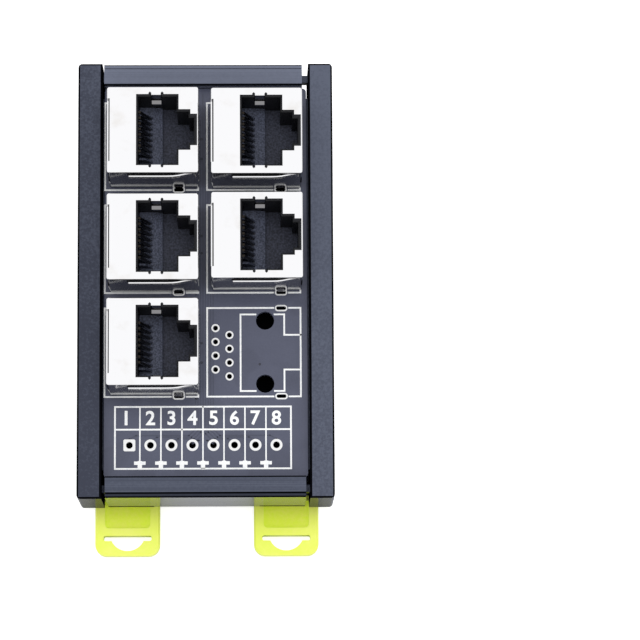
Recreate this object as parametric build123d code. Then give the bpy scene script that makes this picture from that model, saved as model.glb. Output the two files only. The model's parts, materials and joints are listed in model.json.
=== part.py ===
from build123d import *
import os

# Rail-mounted interface module: a plastic carrier that clips on a 35 mm rail and holds one circuit
# board with five upright shielded data sockets, one empty socket place and one empty terminal place.
# Frame: origin on the rail seat, midway along the module and over the middle of the rail.
# +X runs along the rail, +Y across it away from the latches, +Z out to the front of the module.
# All sizes in millimetres.

# Carrier
side_plate_thickness = 4.42
socket_side_clearance = 1.3
ledge_width = 1.0
ledge_height = 3.0
ledge_gap = 0.05
carrier_depth = 79.9
side_plate_overhang = 0.12
wall_above_board = 3.0
profile_inset = 0.06
floor_thickness = 2.0
wall_thickness = 1.6
bar_width = 3.85
bar_below_board = 2.0
bar_groove_offset = 0.8
bar_groove_width = 0.16
bar_groove_depth = 0.35
bar_edge_radius = 0.55
end_gap = 0.72
end_shift = 0.22
end_skew = 0.38
plate_edge_radius = 0.35
plate_corner_radius = 0.7
peg_width = 1.3
peg_height = 2.2
peg_length = 6.0
chamber_clearance = 0.12

# Rail, latches and their slideways
rail_width = 35.0
rail_flange = 1.0
rail_clearance = 0.25
hook_reach = 1.8
foot_rear_length = 6.5
latch_width = 11.94
latch_pitch = 29.32
latch_gap = 0.3
latch_thickness = 3.0
latch_reach = 8.85
latch_corner_radius = 2.1
latch_travel = 3.0
latch_side_clearance = 0.2
latch_tuck = 1.2
slideway_wall = 1.5
slideway_lip = 1.2
slideway_lip_thickness = 1.0
nose_reach = 1.3
nose_width = 8.6
nose_length = 3.8
nose_chamfer = 1.4
pocket_width = 8.35
pocket_depth = 0.7
pocket_reach = 3.75
pocket_corner_radius = 0.75
slot_width = 8.85
slot_height = 0.95
slot_from_tip = 3.7
slot_corner_share = 0.35
moon_width = 5.9
moon_depth = 1.85
arm_slot_width = 1.0
arm_slot_length = 12.0
arm_thickness = 1.4
arm_bump = 0.8
arm_bump_length = 2.0

# Circuit board
board_side_clearance = 0.355
board_end_inset = 3.95
board_thickness = 1.6
board_top = 14.0
board_corner_radius = 0.7
board_groove_clearance = 0.15
board_rest_clearance = 0.05
plating = 0.05

# Socket footprint, measured from the midpoint between its two pegs
column_gap = 2.21
row_pitch = 19.12
footprint_y = -13.1
peg_spacing = 11.6
peg_diameter = 2.95
peg_hole_diameter = 3.3
peg_length_below = 2.7
pin_row_offset = 6.5
pin_row_gap = 2.54
pin_pitch = 1.27
pin_hole_diameter = 0.9
pin_pad_diameter = 1.5
tab_slot_offset_x = 2.95
tab_slot_offset_y = 8.1
tab_slot_length = 1.7
tab_slot_width = 0.7
tab_pad_margin = 0.29
small_round_sides = 8
hidden_round_sides = 6

# Terminal footprint
terminal_count = 8
terminal_pitch = 3.81
terminal_x = -0.53
terminal_y = -30.1
terminal_hole_diameter = 1.25
terminal_pad_diameter = 2.0

# Upright data socket
body_offset = 1.47
shield_width = 16.45
shield_depth = 15.72
shield_height = 14.2
sheet = 0.25
shield_bend = 0.45
opening_left = -2.98
opening_right = 4.66
opening_half = 6.52
notch_right = 6.78
notch_half = 3.73
key_right = 8.06
key_half = 2.89
edge_slot_width = 0.36
edge_slot_half = 5.75
edge_slot_depth = 0.7
spring_width = 1.85
spring_centre = 0.6
spring_slit = 0.36
spring_depth = 4.6
spring_swell = 0.95
spring_knee_share = 0.62
spring_heel_share = 0.86
leaf_root = 6.9
leaf_knee = 3.9
leaf_tip = -4.3
leaf_lift = 0.42
leaf_drop = 0.9
leaf_height = 2.0
tab_width = 1.3
tab_drop = 2.5
tab_rise = 1.4
insulator_gap = 0.06
stand_off = 0.1
lip_inset = 0.33
key_lip_inset = 0.62
lip_chamfer = 0.28
cavity_floor = 2.4
chamber_right = -4.3
chamber_half = 5.0
chamber_roof = 1.3
wire_count = 8
wire_pitch = 1.02
wire_width = 0.42
wire_thickness = 0.3
wire_run_drop = 1.75
wire_tunnel_clearance = 0.07
wire_tip_x = -0.65
wire_tip_drop = 7.6
tail_length = 2.7
tail_jog_height = 1.0
comb_left = -1.5
comb_top_drop = 6.4
comb_tooth = 0.36
block_left = -0.25
block_right = 1.55
block_drop = 9.6
block_slope = 0.5
solder_diameter = 1.5
solder_height = 0.9
solder_slope = 0.25
solder_slope_share = 0.8

socket_places = [
    ("jack_1", 0, 2, 0.15),
    ("jack_2", 1, 2, 0.0),
    ("jack_3", 0, 1, -0.15),
    ("jack_4", 1, 1, 0.1),
    ("jack_5", 0, 0, 0.0),
]
spare_place = (1, 0)

# Sizes that follow from the ones above
column_pitch = shield_width + column_gap
module_width = 2 * (side_plate_thickness + socket_side_clearance + shield_width) + column_gap
wall_height = board_top + wall_above_board
footprint_x = column_pitch / 2 + body_offset
board_width = module_width - 2 * (side_plate_thickness + board_side_clearance)
board_depth = carrier_depth - 2 * board_end_inset
half_width = module_width / 2
half_depth = carrier_depth / 2 + side_plate_overhang
profile_half = carrier_depth / 2 - profile_inset
plate_inner = half_width - side_plate_thickness
bar_inner = profile_half - bar_width
board_bottom = board_top - board_thickness
bar_low = board_bottom - bar_below_board
latch_top = -latch_gap
latch_bottom = latch_top - latch_thickness
foot_bottom = latch_bottom - latch_side_clearance - slideway_lip_thickness
latch_tip = -half_depth - latch_reach
rail_edge = rail_width / 2
nose_tip = -rail_edge + nose_reach
slideway_front = -half_depth + latch_tuck
slideway_rear = -rail_edge - rail_clearance
socket_foot = board_top + stand_off
cavity_bottom = board_top + cavity_floor
shield_top = board_top + shield_height
insulator_top = shield_top - sheet - insulator_gap
slant = end_skew / carrier_depth


def box_between(x0, x1, y0, y1, z0, z1):
    """A box given by its two corners."""
    size = (abs(x1 - x0), abs(y1 - y0), abs(z1 - z0))
    return Pos((x0 + x1) / 2, (y0 + y1) / 2, (z0 + z1) / 2) * Box(*size)


def prism(points, start, length, plane):
    """An outline drawn on a plane and extruded from start along the plane's normal."""
    face = make_face(Polyline(*points, close=True))
    return extrude(plane.offset(start) * face, amount=length)


def round_hole(diameter, sides=small_round_sides):
    """A small hole outline with few sides, none of them nearer than the radius."""
    return RegularPolygon(diameter / 2, sides, major_radius=False)


def round_post(diameter, sides=small_round_sides):
    """A small round outline with few sides, no corner farther than the radius."""
    return RegularPolygon(diameter / 2, sides)


def oval(length, width):
    """A small slot outline with chamfered ends."""
    half_x, half_y = length / 2, width / 2
    cut = width * (1 - 0.5**0.5)
    points = []
    for x, y in ((half_x, -half_y), (half_x, half_y), (-half_x, half_y), (-half_x, -half_y)):
        along = (x - cut * (1 if x > 0 else -1), y)
        across = (x, y - cut * (1 if y > 0 else -1) / 2)
        points += [along, across] if x * y < 0 else [across, along]
    return make_face(Polyline(*points, close=True))


def footprint_centre(column, row, lean=0.0):
    """Midpoint between the pegs of the socket place in a column and a row."""
    x = footprint_x - column_pitch * (1 - column)
    y = footprint_y + row_pitch * row + lean
    return x, y


def socket_and_spare_places():
    """Column and row of every socket place on the board, fitted or empty."""
    return [(column, row) for _, column, row, _ in socket_places] + [spare_place]


def pin_points():
    """The eight pin places of a socket, in two staggered rows, from its peg midpoint."""
    first = pin_pitch * (wire_count - 1) / 2
    points = []
    for index in range(wire_count):
        row = pin_row_offset + (pin_row_gap if index % 2 == 0 else 0.0)
        points.append((-row, first - pin_pitch * index))
    return points


def terminal_points():
    """The holes of the terminal place, from left to right."""
    first = terminal_x - terminal_pitch * (terminal_count - 1) / 2
    return [(first + terminal_pitch * index, terminal_y) for index in range(terminal_count)]


def carrier_outline():
    """Right half of the extruded section: floor, wall and thick edge bar with its board groove."""
    wall_in = profile_half - wall_thickness
    groove_in = board_depth / 2 + board_groove_clearance
    line = profile_half - bar_groove_offset
    half_line = bar_groove_width / 2
    low = board_bottom - board_rest_clearance
    high = board_top + board_groove_clearance
    return [
        (0, 0),
        (profile_half, 0),
        (profile_half, wall_height),
        (line + half_line, wall_height),
        (line + half_line, wall_height - bar_groove_depth),
        (line - half_line, wall_height - bar_groove_depth),
        (line - half_line, wall_height),
        (bar_inner, wall_height),
        (bar_inner, high),
        (groove_in, high),
        (groove_in, low),
        (bar_inner - wall_thickness / 2, low),
        (bar_inner - wall_thickness / 2, bar_low + wall_thickness),
        (bar_inner, bar_low),
        (wall_in, bar_low - wall_thickness),
        (wall_in, floor_thickness),
        (0, floor_thickness),
    ]


def chamber_box(side, x0, x1, clearance):
    """The hollow in a bar that a locating peg of a side element enters."""
    centre_y = side * (profile_half - bar_width / 2)
    centre_z = (bar_low + wall_height - board_thickness - wall_thickness) / 2
    half_y = peg_width / 2 + clearance
    half_z = peg_height / 2 + clearance
    peg = box_between(x0, x1, -half_y, half_y, -half_z, half_z)
    return Pos(0, centre_y, centre_z) * peg


def profile_end(side, y):
    """Place along X of the profile's sawn end, which runs a little out of square."""
    return side * (plate_inner - end_gap) - end_shift + slant * -y


def make_carrier_profile():
    """The extruded channel that carries the board, sawn to length with slightly skewed ends."""
    raw = module_width
    half = prism(carrier_outline(), -raw / 2, raw, Plane.YZ)
    body = half + mirror(half, about=Plane.XZ)
    top_edges = body.edges().filter_by(Axis.X).group_by(Axis.Z)[-1]
    outer = [e for e in top_edges if abs(abs(e.center().Y) - profile_half) < bar_groove_width]
    body = fillet(outer, bar_edge_radius)
    for side in (-1, 1):
        body -= chamber_box(side, -raw, raw, chamber_clearance)
    reach = carrier_depth
    keep = prism(
        [
            (profile_end(-1, -reach), -reach),
            (profile_end(1, -reach), -reach),
            (profile_end(1, reach), reach),
            (profile_end(-1, reach), reach),
        ],
        -wall_height,
        3 * wall_height,
        Plane.XY,
    )
    return body & keep


def slideway_cut(centre_x):
    """Space for a latch: its channel, the opening between the lips and the two bump windows."""
    half = latch_width / 2 + latch_side_clearance
    rear = slideway_rear + rail_width / 2
    low_z = latch_bottom - latch_side_clearance
    cut = box_between(centre_x - half, centre_x + half, latch_tip, rear, 1, low_z)
    mouth = half - slideway_lip
    web_rear = nose_tip - nose_length - latch_travel - latch_side_clearance
    cut += box_between(centre_x - mouth, centre_x + mouth, web_rear, rear, 0, foot_bottom - 1)
    bump_y = arm_bump_centre()
    low = bump_y - arm_bump_length / 2 - latch_travel - latch_side_clearance
    high = bump_y + arm_bump_length / 2 + latch_side_clearance
    reach = half + arm_bump + latch_side_clearance
    cut += box_between(centre_x - reach, centre_x + reach, low, high, 0, low_z)
    return cut


def arm_bump_centre():
    """Place across the rail of the bumps near the free ends of the latch's two spring arms."""
    return arm_slot_front() + arm_slot_length - arm_bump_length


def arm_slot_front():
    """Where the slots that free the spring arms begin, just inside the slideway."""
    return slideway_front + arm_slot_width


def make_side_element():
    """Right end plate with its foot: abutment step, rear hook, latch slideway and locating pegs."""
    plate = box_between(plate_inner, half_width, -half_depth, half_depth, 0, wall_height)
    plate = fillet(plate.edges().filter_by(Axis.Z).group_by(Axis.X)[-1], plate_corner_radius)
    top_face = plate.faces().sort_by(Axis.Z)[-1]
    plate = chamfer(top_face.edges(), plate_edge_radius)
    ledge_top = board_bottom - ledge_gap
    ledge_low = ledge_top - ledge_height
    ledge_half = bar_inner - wall_thickness
    ledge_in = plate_inner - ledge_width
    plate += box_between(ledge_in, plate_inner + 1, -ledge_half, ledge_half, ledge_low, ledge_top)

    centre = latch_pitch / 2
    inner = centre - latch_width / 2 - latch_side_clearance - arm_bump - slideway_wall
    outer = centre + latch_width / 2 + latch_side_clearance + arm_bump + slideway_wall
    outer = min(outer, half_width)
    front = box_between(inner, outer, slideway_front, slideway_rear, 0, foot_bottom)
    front -= slideway_cut(centre)
    hook_face = rail_edge + rail_clearance
    rear = box_between(inner, outer, hook_face, hook_face + foot_rear_length, 0, foot_bottom)
    hook_top = -rail_flange - rail_clearance
    lip = prism(
        [
            (hook_face, hook_top),
            (hook_face - hook_reach, hook_top),
            (hook_face - hook_reach, foot_bottom + hook_reach / 2),
            (hook_face - hook_reach / 2, foot_bottom),
            (hook_face, foot_bottom),
        ],
        inner,
        outer - inner,
        Plane.YZ,
    )
    plate += front + rear + lip
    for side in (-1, 1):
        plate += chamber_box(side, plate_inner - end_gap - peg_length, plate_inner + 1, 0)
    return plate


def latch_plate_outline(centre_x):
    """Flat plate with two well-rounded outer corners."""
    rear = slideway_rear - nose_reach
    middle = (latch_tip + rear) / 2
    plate = Pos(centre_x, middle) * Rectangle(latch_width, rear - latch_tip)
    outer = plate.vertices().group_by(Axis.Y)[0]
    return fillet(outer, latch_corner_radius)


def make_rail_latch():
    """Right sliding latch: tongue with pocket and screwdriver slot, two spring arms, rail nose."""
    centre = latch_pitch / 2
    body = extrude(Plane.XY.offset(latch_bottom) * latch_plate_outline(centre), amount=latch_thickness)
    tip_edges = body.edges().group_by(Axis.Z)[-1].filter_by(lambda e: e.center().Y < -half_depth)
    body = chamfer(tip_edges, latch_gap)

    pocket_front = -half_depth - pocket_reach
    pocket = Pos(centre, pocket_front / 2 + slideway_front / 2) * Rectangle(
        pocket_width, slideway_front - pocket_front
    )
    pocket = fillet(pocket.vertices().group_by(Axis.Y)[0], pocket_corner_radius)
    body -= extrude(Plane.XY.offset(latch_top - pocket_depth) * pocket, amount=latch_gap + pocket_depth)

    slot_y = latch_tip + slot_from_tip
    slot = Pos(centre, slot_y - slot_height / 2) * RectangleRounded(
        slot_width, slot_height, slot_height * slot_corner_share
    )
    moon_left, moon_right = centre - moon_width / 2, centre + moon_width / 2
    moon_base, moon_edge = slot_y - slot_height / 2, slot_y - slot_height
    moon = make_face(
        [
            Line((moon_left, moon_base), (moon_right, moon_base)),
            Line((moon_right, moon_base), (moon_right, moon_edge)),
            ThreePointArc(
                (moon_right, moon_edge), (centre, moon_edge - moon_depth), (moon_left, moon_edge)
            ),
            Line((moon_left, moon_edge), (moon_left, moon_base)),
        ]
    )
    body -= extrude(Plane.XY.offset(latch_bottom - 1) * (slot + moon), amount=latch_thickness + 2)

    slot_front = arm_slot_front()
    for side in (-1, 1):
        inner = centre + side * (latch_width / 2 - arm_thickness - arm_slot_width)
        outer = centre + side * (latch_width / 2 - arm_thickness)
        edge = centre + side * latch_width / 2
        slot_rear = slot_front + arm_slot_length
        body -= box_between(inner, outer, slot_front, slot_rear, latch_bottom - 1, latch_top + 1)
        free_end = slot_rear - arm_slot_width
        body -= box_between(inner, edge + side, free_end, slot_rear, latch_bottom - 1, latch_top + 1)
        bump = arm_bump_centre()
        ramp = arm_bump_length / 4
        body += prism(
            [
                (edge - side * arm_thickness / 2, bump - arm_bump_length / 2),
                (edge, bump - arm_bump_length / 2),
                (edge + side * arm_bump, bump - ramp),
                (edge + side * arm_bump, bump + ramp),
                (edge, bump + arm_bump_length / 2),
                (edge - side * arm_thickness / 2, bump + arm_bump_length / 2),
            ],
            latch_bottom,
            latch_thickness,
            Plane.XY,
        )

    nose_top = -rail_flange - rail_clearance
    nose_low = foot_bottom + latch_side_clearance
    nose = prism(
        [
            (nose_tip - nose_length, nose_low),
            (nose_tip - nose_chamfer, nose_low),
            (nose_tip, nose_low + nose_chamfer),
            (nose_tip, nose_top),
            (nose_tip - nose_length, nose_top),
        ],
        centre - nose_width / 2,
        nose_width,
        Plane.YZ,
    )
    return body + nose


def make_circuit_board():
    """The board with its plated pin holes, peg holes and shield slots."""
    blank = RectangleRounded(board_width, board_depth, board_corner_radius)
    holes = Sketch()
    for column, row in socket_and_spare_places():
        open_place = (column, row) == spare_place
        pin_sides = small_round_sides if open_place else hidden_round_sides
        peg_sides = 2 * pin_sides
        x, y = footprint_centre(column, row)
        for side in (-1, 1):
            holes += Pos(x, y + side * peg_spacing / 2) * round_hole(peg_hole_diameter, peg_sides)
            holes += Pos(x + tab_slot_offset_x, y + side * tab_slot_offset_y) * oval(
                tab_slot_length, tab_slot_width
            )
        for pin_x, pin_y in pin_points():
            holes += Pos(x + pin_x, y + pin_y) * round_hole(pin_hole_diameter + 2 * plating, pin_sides)
    for x, y in terminal_points():
        holes += Pos(x, y) * round_hole(terminal_hole_diameter + 2 * plating)
    return extrude(Plane.XY.offset(board_bottom) * (blank - holes), amount=board_thickness)


def plated_hole(outline, diameter):
    """A pad on the face of the board, joined to the plated wall of the hole."""
    hole = round_post(diameter)
    pad = extrude(Plane.XY.offset(board_top) * (outline - hole), amount=plating)
    wall = round_post(diameter + 2 * plating) - hole
    return pad + extrude(Plane.XY.offset(board_bottom) * wall, amount=board_thickness)


def make_terminal_pads():
    """The eight plated holes of the empty terminal place, the first with a square pad."""
    square = Rectangle(terminal_pad_diameter, terminal_pad_diameter)
    solids = []
    for index, (x, y) in enumerate(terminal_points()):
        outline = square if index == 0 else round_post(terminal_pad_diameter)
        solids.append(Pos(x, y) * plated_hole(outline, terminal_hole_diameter))
    return solids


def make_spare_pads():
    """The eight plated pin holes of the empty socket place."""
    x, y = footprint_centre(*spare_place)
    pad = plated_hole(round_post(pin_pad_diameter), pin_hole_diameter)
    return [Pos(x + pin_x, y + pin_y) * pad for pin_x, pin_y in pin_points()]


def make_shield_slot_pads():
    """The pads round the slots that the shield tabs of every socket place enter."""
    grow = 2 * tab_pad_margin
    ring = oval(tab_slot_length + grow, tab_slot_width + grow) - oval(tab_slot_length, tab_slot_width)
    pad = extrude(Plane.XY.offset(board_top) * ring, amount=plating)
    solids = []
    for column, row in socket_and_spare_places():
        x, y = footprint_centre(column, row)
        for side in (-1, 1):
            solids.append(Pos(x + tab_slot_offset_x, y + side * tab_slot_offset_y) * pad)
    return solids


def cutout_sketch(inset, key_inset):
    """The mouth of a socket: plug opening, latch notch and key notch, drawn about the body centre."""
    left, right = opening_left + inset, opening_right - inset
    mouth = Pos((left + right) / 2, 0) * Rectangle(right - left, 2 * (opening_half - inset))
    notch_end = notch_right - inset
    mouth += Pos((right + notch_end) / 2, 0) * Rectangle(notch_end - right, 2 * (notch_half - inset))
    key_end = key_right - key_inset
    mouth += Pos((notch_end + key_end) / 2, 0) * Rectangle(key_end - notch_end, 2 * (key_half - key_inset))
    return mouth


def spring_outline(side):
    """Section of a shield spring that dips into the mouth and swells towards the plug."""
    y = side * opening_half
    inner = y - side * sheet
    top = shield_top
    foot = top - spring_depth
    swell = y - side * spring_swell
    swell_inner = swell - side * sheet
    knee = top - spring_depth * spring_knee_share
    heel = top - spring_depth * spring_heel_share
    return [
        (y, top),
        (y, knee),
        (swell, heel),
        (y - side * sheet, foot),
        (inner - side * sheet, foot - sheet),
        (swell_inner, heel),
        (inner, knee),
        (inner, top),
    ]


def side_leaf(side):
    """Outline of the long grounding leaf that stands off a side wall."""
    wall = side * shield_depth / 2
    out = wall + side * leaf_lift
    return [
        (leaf_root, wall),
        (leaf_knee, out),
        (leaf_tip, out),
        (leaf_tip, out - side * sheet),
        (leaf_knee, out - side * sheet),
        (leaf_root, wall - side * sheet),
    ]


def make_shield():
    """Folded sheet-metal shell of a socket, drawn about its body centre."""
    half_x, half_y = shield_width / 2, shield_depth / 2
    outer = box_between(-half_x, half_x, -half_y, half_y, socket_foot, shield_top)
    top_edges = outer.faces().sort_by(Axis.Z)[-1].edges()
    outer = fillet(top_edges.filter_by(Axis.Y), shield_bend)
    core = box_between(
        -half_x + sheet, half_x - sheet, -half_y + sheet, half_y - sheet, board_top - 1, shield_top - sheet
    )
    shell = outer - core
    shell -= extrude(Plane.XY.offset(shield_top - shield_bend) * cutout_sketch(0, 0), amount=1)

    slot_right = -half_x + sheet + edge_slot_width
    slot_low = shield_top - edge_slot_depth
    shell -= box_between(
        -half_x + sheet, slot_right, -edge_slot_half, edge_slot_half, slot_low, shield_top + 1
    )
    window_top = shield_top - leaf_drop
    window_low = window_top - leaf_height
    for side in (-1, 1):
        for edge in (-1, 1):
            x = spring_centre + edge * (spring_width + spring_slit) / 2
            y = side * (opening_half + spring_slit)
            shell -= box_between(
                x - spring_slit / 2, x + spring_slit / 2, 0, y, shield_top - sheet, shield_top + 1
            )
        shell += prism(spring_outline(side), spring_centre - spring_width / 2, spring_width, Plane.YZ)
        wall = side * half_y
        shell -= box_between(
            leaf_tip - sheet, leaf_root, wall - side * 2 * sheet, wall + side, window_low, window_top
        )
        shell += prism(side_leaf(side), window_low + sheet / 2, leaf_height - sheet, Plane.XY)
        tab_x = tab_slot_offset_x + body_offset
        left, right = tab_x - tab_width / 2, tab_x + tab_width / 2
        tab_out = side * (tab_slot_offset_y + sheet / 2)
        tab_in = tab_out - side * sheet
        bend_z = board_top + tab_rise
        shell += box_between(left, right, tab_in, tab_out, board_top - tab_drop, bend_z)
        shell += box_between(left, right, wall - side * sheet, tab_out, bend_z - sheet, bend_z)
    return shell


def make_insulator():
    """Black moulded body of a socket: plug cavity, wire chamber, tunnels and two pegs."""
    inset = sheet + insulator_gap
    half_x, half_y = shield_width / 2 - inset, shield_depth / 2 - inset
    body = box_between(-half_x, half_x, -half_y, half_y, socket_foot, insulator_top)
    cavity = cutout_sketch(lip_inset, key_lip_inset)
    body -= extrude(Plane.XY.offset(cavity_bottom) * cavity, amount=shield_height)
    lead = insulator_top - lip_chamfer
    wide = cutout_sketch(lip_inset - lip_chamfer, key_lip_inset - lip_chamfer)
    body -= loft([Plane.XY.offset(lead) * cavity, Plane.XY.offset(insulator_top) * wide], ruled=True)

    recess_left = spring_centre - spring_width / 2 - insulator_gap
    recess_right = spring_centre + spring_width / 2 + insulator_gap
    recess_low = shield_top - spring_depth - sheet - insulator_gap
    for side in (-1, 1):
        recess_y = side * (opening_half + insulator_gap)
        body -= box_between(recess_left, recess_right, 0, recess_y, recess_low, shield_top)
        peg = extrude(Plane.XY * round_post(peg_diameter), amount=-peg_length_below - stand_off - sheet)
        body += Pos(body_offset, side * peg_spacing / 2, socket_foot + sheet) * peg

    body -= box_between(
        -shield_width, chamber_right, -chamber_half, chamber_half, board_top - 1, insulator_top - chamber_roof
    )
    run = shield_top - wire_run_drop
    cavity_left = opening_left + lip_inset
    low, high = run - wire_thickness - wire_tunnel_clearance, run + wire_tunnel_clearance
    half_pass = wire_places()[0] + wire_width
    body -= box_between(-shield_width, cavity_left + 1, -half_pass, half_pass, low, high)
    return body


def wire_places():
    """Place across the mouth of each of the eight contact wires."""
    first = wire_pitch * (wire_count - 1) / 2
    return [first - wire_pitch * index for index in range(wire_count)]


def contact_outline(tail_x):
    """Side view of a contact wire: riser, run over the dividing wall and sloping spring end."""
    run = shield_top - wire_run_drop
    low = run - wire_thickness
    bend_x = opening_left + lip_inset + wire_thickness
    tip_z = shield_top - wire_tip_drop
    left, right = tail_x - wire_thickness / 2, tail_x + wire_thickness / 2
    jog = board_top + tail_jog_height
    return [
        (left, jog),
        (left, run),
        (bend_x + wire_thickness / 2, run),
        (wire_tip_x + wire_thickness / 2, tip_z),
        (wire_tip_x - wire_thickness / 2, tip_z - wire_thickness / 2),
        (bend_x - wire_thickness / 2, low),
        (right, low),
        (right, jog),
    ]


def make_contacts():
    """Eight formed contact wires with their staggered solder tails, about the body centre."""
    solids = []
    jog = board_top + tail_jog_height
    for (pin_x, pin_y), wire_y in zip(pin_points(), wire_places()):
        tail_x = pin_x + body_offset
        half = wire_thickness / 2
        wire = prism(contact_outline(tail_x), -wire_y - wire_width / 2, wire_width, Plane.XZ)
        low, high = min(pin_y, wire_y) - wire_width / 2, max(pin_y, wire_y) + wire_width / 2
        wire += box_between(tail_x - half, tail_x + half, low, high, jog - wire_thickness, jog)
        tail_low, tail_high = pin_y - wire_width / 2, pin_y + wire_width / 2
        wire += box_between(
            tail_x - half, tail_x + half, tail_low, tail_high, board_top - tail_length, jog
        )
        solids.append(wire)
    return solids


def make_contact_block():
    """Moulded insert on the cavity floor: comb between the wire ends and the ramped block beside it."""
    left = opening_left + lip_inset
    half = opening_half - lip_inset - insulator_gap
    top = shield_top - block_drop
    block = prism(
        [
            (left + insulator_gap, cavity_bottom),
            (block_right, cavity_bottom),
            (block_right, top - block_slope),
            (block_left, top),
            (left + insulator_gap, top),
        ],
        -half,
        2 * half,
        Plane.XZ,
    )
    comb_top = shield_top - comb_top_drop
    for index in range(wire_count + 1):
        y = wire_pitch * (wire_count / 2 - index)
        block += prism(
            [
                (left + insulator_gap, top - block_slope),
                (block_left, top - block_slope),
                (block_left, top + block_slope),
                (comb_left, comb_top),
                (left + insulator_gap, comb_top),
            ],
            -y - comb_tooth / 2,
            comb_tooth,
            Plane.XZ,
        )
    return block


def make_solder_joints():
    """The solder cones under the board, one round each contact tail of the fitted sockets."""
    solids = []
    base = Plane.XY.offset(board_bottom) * RegularPolygon(solder_diameter / 2, hidden_round_sides)
    cone = extrude(base, amount=-solder_height)
    cone = chamfer(cone.edges().group_by(Axis.Z)[0], solder_height * solder_slope_share, solder_slope)
    cone -= box_between(
        -wire_thickness / 2, wire_thickness / 2, -wire_width / 2, wire_width / 2, 0, board_top
    )
    for _, column, row, lean in socket_places:
        x, y = footprint_centre(column, row, lean)
        for pin_x, pin_y in pin_points():
            solids.append(Pos(x + pin_x, y + pin_y) * cone)
    return solids


def write(name, shape):
    """Write one named piece, or one group of like pieces, to its own file."""
    solids = shape if isinstance(shape, list) else [shape]
    export_step(Compound([s.solid() for s in solids]), f"parts/{name}.step")


def main():
    """Build every piece and write it out."""
    os.makedirs("parts", exist_ok=True)
    write("carrier_profile", make_carrier_profile())
    side_element = make_side_element()
    write("side_element_right", side_element)
    write("side_element_left", mirror(side_element, about=Plane.YZ))
    latch = make_rail_latch()
    write("rail_latch_right", latch)
    write("rail_latch_left", mirror(latch, about=Plane.YZ))
    write("circuit_board", make_circuit_board())
    write("terminal_pads", make_terminal_pads())
    write("spare_socket_pads", make_spare_pads())
    write("shield_slot_pads", make_shield_slot_pads())
    write("solder_joints", make_solder_joints())

    shield, insulator = make_shield(), make_insulator()
    block, contacts = make_contact_block(), make_contacts()
    for name, column, row, lean in socket_places:
        x, y = footprint_centre(column, row, lean)
        place = Pos(x - body_offset, y)
        write(f"{name}_shield", place * shield)
        write(f"{name}_insulator", place * insulator)
        write(f"{name}_contact_block", place * block)
        write(f"{name}_contacts", [place * contact for contact in contacts])


main()
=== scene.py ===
"""Looks of a rail-mounted module with five upright shielded data sockets.

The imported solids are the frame. This script gives each of them its finish, replaces the
shields and the plated rings by finer pieces, prints the white lines and numbers on the
board, and sets a plain studio. Pieces are shaped in millimetres, so that the bench's tools
work at a comfortable scale, and are brought to metres when they are fitted to the frame.
"""

import json
import logging
import math
from collections.abc import Callable, Iterable, Sequence
from dataclasses import dataclass, field
from enum import Enum

import bpy
from mathutils import Matrix, Vector

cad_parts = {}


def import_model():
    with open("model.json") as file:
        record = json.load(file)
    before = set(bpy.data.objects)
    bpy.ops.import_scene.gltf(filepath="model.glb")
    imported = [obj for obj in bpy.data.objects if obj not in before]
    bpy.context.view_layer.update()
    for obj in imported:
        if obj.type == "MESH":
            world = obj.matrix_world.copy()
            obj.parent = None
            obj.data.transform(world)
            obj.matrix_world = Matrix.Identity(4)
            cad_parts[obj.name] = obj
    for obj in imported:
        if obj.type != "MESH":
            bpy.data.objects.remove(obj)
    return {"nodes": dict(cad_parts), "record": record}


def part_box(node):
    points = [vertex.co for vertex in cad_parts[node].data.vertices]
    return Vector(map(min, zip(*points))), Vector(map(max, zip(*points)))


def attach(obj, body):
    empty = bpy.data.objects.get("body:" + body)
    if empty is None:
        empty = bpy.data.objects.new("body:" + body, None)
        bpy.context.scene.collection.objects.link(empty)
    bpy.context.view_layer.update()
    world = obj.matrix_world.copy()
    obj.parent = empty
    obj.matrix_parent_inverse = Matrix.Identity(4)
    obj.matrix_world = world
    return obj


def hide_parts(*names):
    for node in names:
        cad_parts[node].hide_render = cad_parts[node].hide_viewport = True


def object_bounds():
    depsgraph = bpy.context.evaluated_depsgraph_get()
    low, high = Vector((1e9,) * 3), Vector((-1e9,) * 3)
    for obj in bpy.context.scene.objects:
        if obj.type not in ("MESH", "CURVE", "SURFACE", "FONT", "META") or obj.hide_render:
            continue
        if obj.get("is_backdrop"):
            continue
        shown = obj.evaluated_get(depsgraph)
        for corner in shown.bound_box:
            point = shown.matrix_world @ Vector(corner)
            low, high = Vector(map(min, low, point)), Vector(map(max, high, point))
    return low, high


MM = 0.001
CARRIER = "carrier"
LOG = logging.getLogger("module")

Point = tuple[float, float]
Span = tuple[float, float]
Triple = tuple[float, float, float]
Colour = tuple[float, float, float, float]

WHITE: Colour = (1.0, 1.0, 1.0, 1.0)
# The painted shade lines along edges and grooves fade in over EDGE_FADE.
EDGE_FADE = 0.05  # Millimetres over which a painted line fades.
LOOKS_UP: Span = (0.5, 0.9)  # Shares of a normal that count as looking up.
LOOKS_ALONG: Span = (0.6, 0.95)  # Squares of such shares, for walls across Y.
LEVEL = 0.9  # Share of a normal from which a face counts as level.


class Axis(Enum):
    """The three directions of the frame."""

    X = 0
    Y = 1
    Z = 2


class Kind(Enum):
    """What is selected in edit mode."""

    EDGE = "EDGE"
    FACE = "FACE"


# Shader maths


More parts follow.
